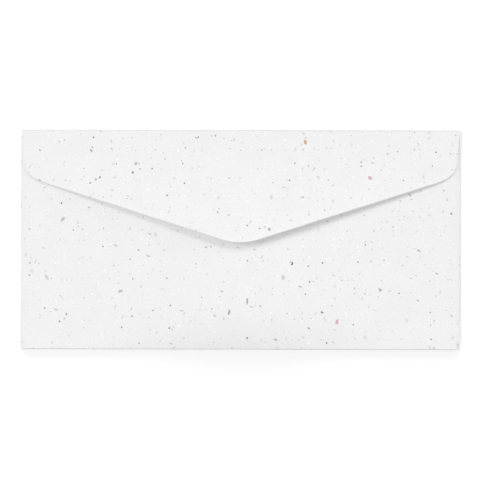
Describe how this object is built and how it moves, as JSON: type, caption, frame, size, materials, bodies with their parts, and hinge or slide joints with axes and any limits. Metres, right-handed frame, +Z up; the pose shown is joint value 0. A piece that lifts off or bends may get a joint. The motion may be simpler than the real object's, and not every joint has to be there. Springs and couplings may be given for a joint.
{
  "type": "paper envelope",
  "caption": "Long wallet envelope folded and glued from one sheet of flecked white recycled paper, its pointed flap folded down over the back and left unsealed.",
  "frame": {"origin": "middle of the address side, on the surface that the envelope lies on", "axes": "+X along the bottom fold and the flap fold, +Y from the bottom fold to the flap fold, +Z up, out of the flap side"},
  "size_m": [0.22, 0.11, 0.0055],
  "materials": {
    "flecked_paper": "uncoated recycled paper, matt, with small grey, white and red flecks all through the sheet"
  },
  "bodies": {
    "root": {"envelope": "flecked_paper"}
  },
  "joints": []
}
